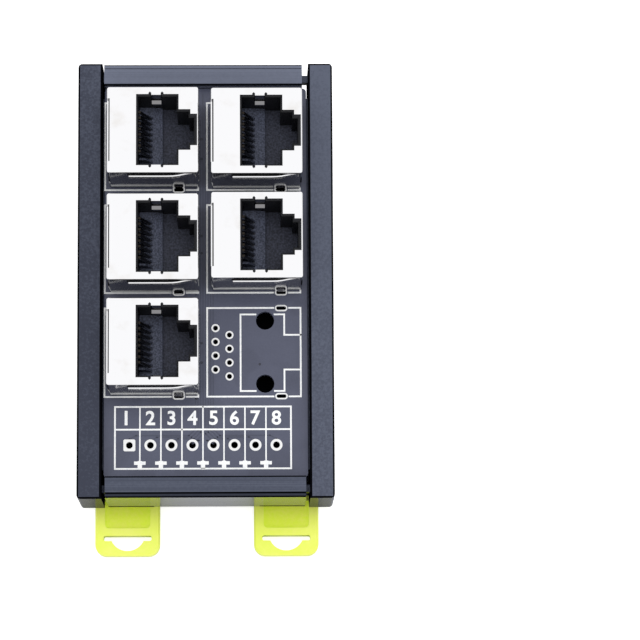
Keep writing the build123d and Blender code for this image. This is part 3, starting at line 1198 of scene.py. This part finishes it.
@dataclass
class Rings:
    """The bright plated rings on the face of the board."""

    grid: Grid
    lift: float = 0.05
    edge: float = 0.02
    terminal_bore: float = 0.61
    terminal_rim: float = 1.09
    pin_count: int = 8
    pin_bore: float = 0.45
    pin_rim: float = 0.76
    pin_row: float = 6.5
    pin_row_gap: float = 2.54
    pin_pitch: float = 1.27
    slot_run: float = 1.12
    slot_bore: float = 0.33
    slot_rim: float = 0.59

    def ring(self, rim: float, bore: float) -> bpy.types.Object:
        """Makes a pad with the plated barrel under it.

        Args:
            rim: The pad's outer radius.
            bore: The radius of its hole.

        Returns:
            The ring at the origin.
        """
        low, top = self.grid.film(self.lift)
        pad = Bench.tube(rim, bore, (low, top))
        barrel = Bench.tube(
            bore + self.lift, bore, (self.grid.board_bottom, top - self.lift / 2)
        )
        Bench.modify(pad, "BEVEL", width=self.edge, segments=2, limit_method="ANGLE")
        return Bench.join([pad, barrel])

    def squared(self, piece: bpy.types.Object, bore: float) -> bpy.types.Object:
        """Pushes the rim of a ring out to a square.

        Args:
            piece: The ring.
            bore: The radius of its hole, which stays round.

        Returns:
            The same ring.
        """
        for vertex in piece.data.vertices:
            reach = math.hypot(vertex.co.x, vertex.co.y)
            if reach > bore + 2 * self.lift:
                corner = max(abs(vertex.co.x), abs(vertex.co.y))
                vertex.co.x *= reach / corner
                vertex.co.y *= reach / corner
        return piece

    def stretched(self, piece: bpy.types.Object) -> bpy.types.Object:
        """Draws a ring out along X to the shape of a slot.

        Args:
            piece: The ring.

        Returns:
            The same ring.
        """
        for vertex in piece.data.vertices:
            vertex.co.x += math.copysign(self.slot_run / 2, vertex.co.x)
        return piece

    def terminals(self) -> bpy.types.Object:
        """Makes the rings of the terminal place, the first of them square.

        Returns:
            The rings, joined.
        """
        holes = self.grid.terminals()
        square = self.squared(self.ring(self.terminal_rim, self.terminal_bore), self.terminal_bore)
        Bench.shift(square, *holes[0])
        rings = Bench.repeat(self.ring(self.terminal_rim, self.terminal_bore), holes[1:])
        return Bench.join([square, rings])

    def pins(self) -> bpy.types.Object:
        """Makes the rings of the empty socket place, in two staggered rows.

        Returns:
            The rings, joined.
        """
        x, y = self.grid.spare()
        places = []
        for index in range(self.pin_count):
            outer = self.pin_row_gap if index % 2 == 0 else 0.0
            along = self.pin_pitch * ((self.pin_count - 1) / 2 - index)
            places.append((x - self.pin_row - outer, y + along))
        return Bench.repeat(self.ring(self.pin_rim, self.pin_bore), places)

    def slots(self) -> bpy.types.Object:
        """Makes the rings round the slots of the shields' tabs.

        Returns:
            The rings, joined.
        """
        places = [
            (x + self.grid.slot_x, y + side * self.grid.slot_y)
            for x, y in self.grid.socket_places()
            for side in (-1, 1)
        ]
        ring = Bench.tube(self.slot_rim, self.slot_bore, self.grid.film(self.lift))
        return Bench.repeat(self.stretched(ring), places)

    def build(self, fitter: Fitter) -> None:
        """Makes the rings of the terminal place, the empty socket place and the slots.

        Args:
            fitter: Fits the rings to the frame.
        """
        tin, slot = Finish.TIN, "solder"
        fitter.fit(self.terminals(), "terminal_rings", tin, ["terminal_pads"])
        fitter.fit(self.pins(), "spare_socket_rings", tin, ["spare_socket_pads"])
        fitter.fit(self.slots(), "slot_rings", tin, ["shield_slot_pads"])


@dataclass
class Legend:
    """The white lines and numbers printed on the board.

    The frame, the shape and the notch are measured from the middle of a socket place, and
    the box, the stubs and the numbers from the middle of the board. Each line's top is one
    of a few levels, an overprint apart, so that no two faces lie in one plane where lines
    meet.
    """

    grid: Grid
    ink: float = 0.025
    overprint: float = 0.002
    levels: int = 7
    printed: int = field(default=0, init=False)
    line: float = 0.31
    divider: float = 0.248
    frame_left: float = -10.55
    frame_right: float = 6.48
    frame_half: float = 8.15
    shape_left: float = -4.47
    shape_top: float = 6.95
    shape_bottom: float = -7.14
    shape_right: float = 3.5
    notch_high: float = 3.17
    notch_low: float = -3.22
    slot_gap: float = 1.45
    peg_gap: float = 1.75
    box_left: float = -16.48
    box_right: float = 15.44
    box_top: float = -23.09
    box_middle: float = -27.24
    box_bottom: float = -34.39
    stub_y: float = -33.36
    stub_bar: float = 0.62
    stub_half: float = 1.05
    stub_stem: float = 0.8
    digit_y: float = -25.12
    digit_height: float = 2.64
    digit_weight: float = 0.022
    digit_body: float = 0.5
    digit_steps: int = 6
    first_shift: float = 0.6

    def stroke(self, start: Point, end: Point, width: float | None = None) -> bpy.types.Object:
        """Prints one line.

        Args:
            start: The point that it starts from.
            end: The point that it ends at.
            width: Its width, if it isn't that of the other lines.

        Returns:
            The line.
        """
        self.printed += 1
        level = self.overprint * (self.printed % self.levels)
        heights = (self.grid.board_top, self.grid.board_top + self.ink + level)
        return Bench.bar(start, end, width or self.line, heights)

    def chain(self, points: Sequence[Point]) -> list[bpy.types.Object]:
        """Printed lines through a row of points."""
        return [self.stroke(start, end) for start, end in zip(points, points[1:])]

    def socket_outline(self, x: float, y: float) -> list[bpy.types.Object]:
        """Prints the frame round a socket place and the plan of the socket inside it.

        Args:
            x: The middle of the socket place along X.
            y: The middle of the socket place along Y.

        Returns:
            The lines.
        """
        left, right, half = self.frame_left, self.frame_right, self.frame_half
        gap_left, gap_right = self.grid.slot_x - self.slot_gap, self.grid.slot_x + self.slot_gap
        rows = [
            [(gap_left, half), (left, half), (left, -half), (gap_left, -half)],
            [(gap_right, half), (right, half), (right, -half), (gap_right, -half)],
            [(-self.peg_gap, self.shape_top), (self.shape_left, self.shape_top)],
            [(-self.peg_gap, self.shape_bottom), (self.shape_left, self.shape_bottom)],
            [(self.shape_left, self.shape_top), (self.shape_left, self.shape_bottom)],
        ]
        for edge, notch in (
            (self.shape_top, self.notch_high),
            (self.shape_bottom, self.notch_low),
        ):
            rows.append(
                [
                    (self.peg_gap, edge),
                    (self.shape_right, edge),
                    (self.shape_right, notch),
                    (right, notch),
                ]
            )
        strokes = []
        for row in rows:
            strokes += self.chain([(x + dx, y + dy) for dx, dy in row])
        return strokes

    def terminal_box(self) -> list[bpy.types.Object]:
        """Prints the table round the terminal holes, with a stub under each divider.

        Returns:
            The lines.
        """
        left, right = self.box_left, self.box_right
        corners = [(left, self.box_top), (right, self.box_top), (right, self.box_bottom)]
        corners += [(left, self.box_bottom), (left, self.box_top)]
        strokes = self.chain(corners)
        strokes += self.chain([(left, self.box_middle), (right, self.box_middle)])
        reach = self.stub_half - self.stub_bar / 2
        foot = self.box_bottom + self.stub_stem / 2
        for hole_x, _ in self.grid.terminals()[1:]:
            x, y = hole_x - self.grid.terminal_pitch / 2, self.stub_y
            strokes += [
                self.stroke((x, self.box_top), (x, y), self.divider),
                self.stroke((x - reach, y), (x + reach, y), self.stub_bar),
                self.stroke((x, y), (x, foot), self.stub_stem),
            ]
        return strokes

    def digit(self, number: int, x: float) -> bpy.types.Object:
        """Prints one number over its terminal hole.

        Args:
            number: The number.
            x: The place of its middle along X.

        Returns:
            The number as a mesh.
        """
        Bench.clear()
        bpy.ops.object.text_add()
        text = bpy.context.object
        text.data.body = str(number)
        text.data.align_x, text.data.align_y = "CENTER", "CENTER"
        text.data.offset = self.digit_weight
        text.data.extrude = self.digit_body
        text.data.resolution_u = self.digit_steps
        bpy.ops.object.convert(target="MESH")
        piece = Bench.settle()
        xs, ys = ([getattr(v.co, a) for v in piece.data.vertices] for a in "xy")
        scale = self.digit_height / (max(ys) - min(ys))
        middle_x, middle_y = (max(xs) + min(xs)) / 2, (max(ys) + min(ys)) / 2
        for vertex in piece.data.vertices:
            vertex.co = Vector(
                (
                    x + (vertex.co.x - middle_x) * scale,
                    self.digit_y + (vertex.co.y - middle_y) * scale,
                    self.grid.board_top + self.ink * (vertex.co.z + self.digit_body),
                )
            )
        return piece

    def build(self, fitter: Fitter) -> None:
        """Prints the outlines, the terminal table and the numbers.

        Args:
            fitter: Fits the print to the frame.
        """
        strokes = self.terminal_box()
        for x, y in self.grid.socket_places():
            strokes += self.socket_outline(x, y)
        lines = Bench.join(strokes)
        Bench.modify(lines, "BEVEL", width=self.ink / 3, segments=1)
        fitter.fit(lines, "printed_lines", Finish.INK)
        digits = []
        for index, (x, _) in enumerate(self.grid.terminals()):
            shift = self.first_shift if index == 0 else 0.0
            digits.append(self.digit(index + 1, x - shift))
        fitter.fit(Bench.join(digits), "printed_numbers", Finish.INK)


@dataclass
class Tracks:
    """Copper tracks under the mask, from the gutter between the sockets to the terminals.

    Each track runs down the gutter, turns at its own level of the fan and ends at its
    terminal hole. The far ends are staggered in threes.
    """

    grid: Grid
    lift: float = 0.02
    width: float = 0.22
    pitch: float = 0.46
    top_y: float = 35.0
    stagger: float = 2.5
    stagger_count: int = 3
    gutter_x: float = -0.95
    gutter_track: int = 2
    fan_y: float = -28.2
    fan_step: float = 0.3
    bend: float = 1.2
    pad_reach: float = 1.0
    via_radius: float = 0.22
    via_sides: int = 16
    via_x: float = -0.75
    via_rows: tuple[float, ...] = (26.5, 22.8, 8.4, 5.2, -11.4, -15.0)
    stray_vias: tuple[Point, ...] = ((-1.7, -21.6), (9.82, -15.34))

    def route(self, index: int, hole: Point) -> list[Point]:
        """Lays out one track.

        Args:
            index: The terminal's number, from 0.
            hole: The terminal's hole.

        Returns:
            The track's points, from its far end to the hole.
        """
        x, y = hole
        count = self.grid.terminal_count
        run_x = self.gutter_x + self.pitch * (index - self.gutter_track)
        drop = min(abs(x - run_x), self.bend)
        side = 1 if x > run_x else -1
        level = self.fan_y - self.fan_step * (count / 2 - abs(index - (count - 1) / 2))
        return [
            (run_x, self.top_y - self.stagger * (index % self.stagger_count)),
            (run_x, level + drop),
            (run_x + side * drop, level),
            (x - side * drop, level),
            (x, level - drop / 2),
            (x, y + self.pad_reach),
        ]

    def build(self, fitter: Fitter) -> None:
        """Lays the tracks and the vias.

        Args:
            fitter: Fits them to the frame.
        """
        heights = self.grid.film(self.lift)
        bars = []
        for index, hole in enumerate(self.grid.terminals()):
            points = self.route(index, hole)
            bars += [Bench.bar(a, b, self.width, heights) for a, b in zip(points, points[1:])]
        lines = Bench.join(bars)
        Bench.modify(lines, "BEVEL", width=self.lift / 2, segments=1)
        fitter.fit(lines, "board_tracks", Finish.TRACK)

        spots = [(self.via_x, y) for y in self.via_rows] + list(self.stray_vias)
        via = Bench.tube(self.via_radius, self.via_radius / 3, heights, self.via_sides)
        fitter.fit(Bench.repeat(via, spots), "board_vias", Finish.VIA)


@dataclass
class Shield:
    """The folded sheet shell of a socket, drawn about the socket's own middle.

    The spring's path is given as steps outwards and upwards from the mouth's edge, and the
    leaf's bends as steps along X from its root, each with its share of the leaf's lift.
    """

    width: float = 16.45
    depth: float = 15.72
    foot: float = 14.1
    top: float = 28.2
    sheet: float = 0.25
    fold: float = 0.34
    fold_steps: int = 5
    corner: float = 0.45
    corner_steps: int = 4
    smooth_angle: float = 15.0
    cut_under: float = 1.2
    cut_over: float = 1.0
    cut_lap: float = 0.5
    mouth_left: float = -2.98
    mouth_right: float = 4.66
    mouth_half: float = 6.52
    notch_right: float = 6.78
    notch_half: float = 3.73
    key_right: float = 7.98
    key_half: float = 2.89
    seam_width: float = 0.5
    seam_half: float = 5.75
    slit: float = 0.5
    slit_corner: float = 0.2083
    slit_reach: float = 0.44
    spring_x: float = 0.6
    spring_width: float = 1.7
    spring_sheet: float = 0.2
    spring_path: tuple[Point, ...] = (
        (0.5, 0.0),
        (0.22, 0.0),
        (0.1, -0.08),
        (0.05, -0.3),
        (0.0, -3.2),
        (-0.12, -3.8),
        (-0.72, -4.2),
        (-0.8, -4.5),
        (-0.4, -5.3),
    )
    leaf_root: float = 7.3
    leaf_tip: float = -4.3
    leaf_near_lift: float = 0.6
    leaf_far_lift: float = 0.12
    leaf_drop: float = 0.9
    leaf_height: float = 2.0
    leaf_window: float = 0.8
    leaf_bends: tuple[Point, ...] = (
        (0.4, 0.0),
        (0.0, 0.06),
        (-1.4, 0.36),
        (-2.8, 0.8),
        (-3.7, 0.96),
        (-4.7, 1.0),
    )
    tab_x: float = 4.42
    tab_width: float = 1.3
    tab_sheet: float = 0.225
    tab_out: float = 8.1
    tab_low: float = 11.6
    tab_high: float = 15.3
    tab_bend: float = 0.5
    tab_tip: float = 0.4

    def shell(self) -> bpy.types.Object:
        """Makes the box open below, with every bend rounded as folding leaves it.

        Returns:
            The shell, without its openings.
        """
        half_x, half_y = self.width / 2, self.depth / 2
        piece = Bench.block((-half_x, -half_y, self.foot), (half_x, half_y, self.top))
        Bench.choose(piece, Kind.FACE, lambda face: face.normal.z < -LEVEL)
        bpy.ops.mesh.delete(type="ONLY_FACE")
        Bench.edges(piece, lambda a, b: abs(a.z - b.z) > self.corner)
        bpy.ops.mesh.bevel(offset=self.corner, segments=self.corner_steps, affect="EDGES")
        bpy.ops.object.mode_set(mode="OBJECT")
        Bench.edges(piece, lambda a, b: min(a.z, b.z) > self.top - self.fold)
        bpy.ops.mesh.bevel(offset=self.fold, segments=self.fold_steps, affect="EDGES")
        Bench.close()
        Bench.modify(piece, "SOLIDIFY", thickness=self.sheet, offset=-1.0)
        Bench.modify(piece, "TRIANGULATE")
        return piece

    def mouth(self) -> list[bpy.types.Object]:
        """Makes the cutters of the stepped mouth, the seam at the left and the spring slits.

        Returns:
            The cutters, which go down through the face.
        """
        low, high = self.top - self.cut_under, self.top + self.cut_over
        edge, lap = -self.width / 2, self.cut_lap
        plans = [
            (self.mouth_left, self.mouth_right, self.mouth_half),
            (self.mouth_right - lap, self.notch_right, self.notch_half),
            (self.notch_right - lap, self.key_right, self.key_half),
            (edge - self.cut_over, edge + self.seam_width, self.seam_half),
        ]
        pieces = [
            Bench.block((left, -half, low), (right, half, high)) for left, right, half in plans
        ]
        reach = self.mouth_half + self.slit_reach
        for side in (-1, 1):
            x = self.spring_x + side * (self.spring_width + self.slit) / 2
            slit = Bench.block(
                (x - self.slit / 2, -reach, low), (x + self.slit / 2, reach, high)
            )
            Bench.modify(slit, "BEVEL", width=self.slit_corner, segments=1)
            pieces.append(slit)
        return pieces

    def windows(self) -> list[bpy.types.Object]:
        """Makes the cutters of the windows that the leaves leave in the side walls.

        Returns:
            The cutters.
        """
        high = self.top - self.leaf_drop
        pieces = []
        for side in (-1, 1):
            wall = side * self.depth / 2
            inner, outer = wall - side * self.leaf_window, wall + side * self.cut_over
            low_corner = (self.leaf_tip - self.sheet, inner, high - self.leaf_height)
            pieces.append(Bench.block(low_corner, (self.leaf_root, outer, high)))
        return pieces

    def springs(self) -> list[bpy.types.Object]:
        """Makes the two springs that dip into the mouth and swell towards the plug.

        Returns:
            The springs.
        """
        strips = []
        for side in (-1, 1):
            y, z = side * (self.mouth_half - self.sheet / 2), self.top - self.sheet / 2
            path = [(self.spring_x, y + side * out, z + up) for out, up in self.spring_path]
            strips.append(Bench.strip(path, (self.spring_width, 0, 0), self.spring_sheet))
        return strips

    def leaves(self) -> list[bpy.types.Object]:
        """Makes the two long grounding leaves that stand off the side walls.

        Returns:
            The leaves.
        """
        strips = []
        z = self.top - self.leaf_drop - self.leaf_height / 2
        for side, reach in ((-1, self.leaf_near_lift), (1, self.leaf_far_lift)):
            wall, lift = side * (self.depth - self.sheet) / 2, side * reach
            path = [(self.leaf_root + x, wall + lift * out, z) for x, out in self.leaf_bends]
            path.append((self.leaf_tip, wall + lift, z))
            across = (0, 0, self.leaf_height - self.sheet)
            strips.append(Bench.strip(path, across, self.spring_sheet))
        return strips

    def tabs(self) -> list[bpy.types.Object]:
        """Makes the two tabs that go down through the board's slots.

        Returns:
            The tabs.
        """
        strips = []
        for side in (-1, 1):
            wall, out = side * (self.depth - self.sheet) / 2, side * self.tab_out
            path = [
                (self.tab_x, wall, self.tab_high + self.tab_bend),
                (self.tab_x, wall, self.tab_high),
                (self.tab_x, out, self.tab_high - self.tab_bend),
                (self.tab_x, out, self.tab_low + self.tab_tip),
                (self.tab_x, out, self.tab_low),
            ]
            strips.append(Bench.strip(path, (self.tab_width, 0, 0), self.tab_sheet))
        return strips

    def model(self) -> bpy.types.Object:
        """Makes the whole shell with its springs, leaves and tabs.

        Returns:
            The shell at the origin.
        """
        piece = self.shell()
        for cutter in self.mouth() + self.windows():
            Bench.cut(piece, cutter)
        piece = Bench.join([piece, *self.springs(), *self.leaves(), *self.tabs()])
        Bench.pick(piece)
        bpy.ops.object.shade_smooth_by_angle(angle=math.radians(self.smooth_angle))
        return piece

    def build(self, fitter: Fitter, sockets: Sequence[str]) -> None:
        """Makes the shell once and sets a copy over each socket.

        Args:
            fitter: Fits the copies to the frame.
            sockets: The names of the sockets.
        """
        pattern = self.model()
        for socket in sockets:
            low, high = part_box(f"{socket}_shield")
            x, y = (low[0] + high[0]) / 2 / MM, (low[1] + high[1]) / 2 / MM
            shell = Bench.shift(Bench.copy(pattern), x, y)
            name = f"{socket}_shell"
            fitter.fit(shell, name, Finish.SHIELD, [f"{socket}_shield"])
        bpy.data.objects.remove(pattern)


@dataclass(frozen=True)
class Studio:
    """Plain floor, soft light and the camera. Its lengths are in metres."""

    floor_half: float = 1.6
    floor_dark: Colour = (0.84, 0.84, 0.85, 1.0)
    floor_light: Colour = (0.87, 0.87, 0.87, 1.0)
    floor_scale: Triple = (0.004, 0.004, 0.004)
    floor_roughness: float = 0.7
    floor_glow: float = 0.66
    world_level: float = 0.74
    key_power: float = 2.2
    key_size: float = 0.3
    key_place: Triple = (0.03, 0.03, 0.7)
    camera_place: Triple = (0.00764, -0.10161, 0.61783)
    camera_right: Triple = (0.99976, -0.00631, 0.02086)
    camera_up: Triple = (0.00301, 0.98798, 0.15452)
    camera_back: Triple = (-0.02158, -0.15442, 0.98777)
    camera_clip: Span = (0.01, 20.0)
    focal_pixels: float = 3350.0
    image_pixels: float = 640.0
    sensor_width: float = 36.0

    def floor(self, level: float) -> None:
        """Lays the floor under the module.

        Args:
            level: The height that the module stands at.
        """
        Bench.clear()
        bpy.ops.mesh.primitive_plane_add(size=2 * self.floor_half, location=(0, 0, level))
        plane = Bench.settle()
        plane.name = "floor"
        surface = Surface("floor")
        camera_ray = surface.node("ShaderNodeLightPath", output="Is Camera Ray")
        patch = surface.noise(self.floor_scale)
        surface.set(
            Base_Color=surface.blend(patch, self.floor_dark, self.floor_light),
            Roughness=self.floor_roughness,
            Emission_Color=WHITE,
            Emission_Strength=self.floor_glow * camera_ray,
        )
        plane.data.materials.append(surface.material)
        plane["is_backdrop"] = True

    def world(self) -> None:
        """Fills the room with even light, white where it is seen or mirrored."""
        world = bpy.data.worlds.new("room")
        bpy.context.scene.world = world
        world.use_nodes = True
        tree = world.node_tree
        background = next(n for n in tree.nodes if n.type == "BACKGROUND")
        paths = tree.nodes.new("ShaderNodeLightPath")
        level = tree.nodes.new("ShaderNodeMapRange")
        either = tree.nodes.new("ShaderNodeMath")
        either.operation = "MAXIMUM"
        tree.links.new(paths.outputs["Is Camera Ray"], either.inputs[0])
        tree.links.new(paths.outputs["Is Glossy Ray"], either.inputs[1])
        tree.links.new(either.outputs[0], level.inputs["Value"])
        level.inputs["To Min"].default_value = self.world_level
        background.inputs["Color"].default_value = WHITE
        tree.links.new(level.outputs[0], background.inputs["Strength"])

    def key(self) -> None:
        """Hangs one soft lamp over the module."""
        Bench.clear()
        bpy.ops.object.light_add(type="AREA", location=self.key_place)
        lamp = bpy.context.object
        lamp.data.energy = self.key_power
        lamp.data.size = self.key_size
        lamp.visible_glossy = False
        aim = -Vector(self.key_place)
        lamp.rotation_euler = aim.to_track_quat("-Z", "Y").to_euler()

    def camera(self) -> None:
        """Sets the camera by its place and its three axes."""
        data = bpy.data.cameras.new("camera")
        camera = bpy.data.objects.new("camera", data)
        bpy.context.collection.objects.link(camera)
        axes = Matrix((self.camera_right, self.camera_up, self.camera_back)).transposed()
        camera.matrix_world = Matrix.Translation(self.camera_place) @ axes.to_4x4()
        data.sensor_width = self.sensor_width
        data.lens = self.focal_pixels / self.image_pixels * data.sensor_width
        data.clip_start, data.clip_end = self.camera_clip
        bpy.context.scene.camera = camera

    def build(self, level: float) -> None:
        """Sets up the floor, the light and the camera.

        Args:
            level: The height that the module stands at.
        """
        self.floor(level)
        self.world()
        self.key()
        self.camera()
        bpy.context.scene.view_settings.view_transform = "Standard"


SLOT_FINISHES = {
    "carrier_plastic": Finish.CARRIER,
    "side_plastic": Finish.SIDE,
    "latch_plastic": Finish.LATCH,
    "board_laminate": Finish.BOARD,
    "solder": Finish.TIN,
    "shield_sheet": Finish.SHIELD,
    "socket_plastic": Finish.SOCKET,
    "block_plastic": Finish.BLOCK,
    "contact_wire": Finish.CONTACT,
}


def dress_solids(frame: dict, wardrobe: Wardrobe) -> list[str]:
    """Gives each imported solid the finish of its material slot.

    Args:
        frame: The loaded frame.
        wardrobe: The shared finishes.

    Returns:
        The names of the fitted sockets.
    """
    sockets = []
    for part in frame["record"]["subparts"]:
        node = part["node"]
        wardrobe.dress(frame["nodes"][node], SLOT_FINISHES[part["material_slot"]])
        LOG.info("%s: dressed", node)
        if node.endswith("_insulator"):
            sockets.append(node.removesuffix("_insulator"))
    return sorted(sockets)


def main() -> None:
    """Dresses the frame, adds the finer pieces and sets the studio."""
    logging.basicConfig(level=logging.INFO, format="%(name)s: %(message)s")
    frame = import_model()
    solid_box = [list(corner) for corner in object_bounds()]
    wardrobe = Wardrobe()
    fitter = Fitter(wardrobe)
    sockets = dress_solids(frame, wardrobe)
    grid = Grid.from_frame()
    Rings(grid).build(fitter)
    Legend(grid).build(fitter)
    Tracks(grid).build(fitter)
    Shield().build(fitter, sockets)
    Studio().build(solid_box[0][2])


if __name__ == "__main__":
    main()
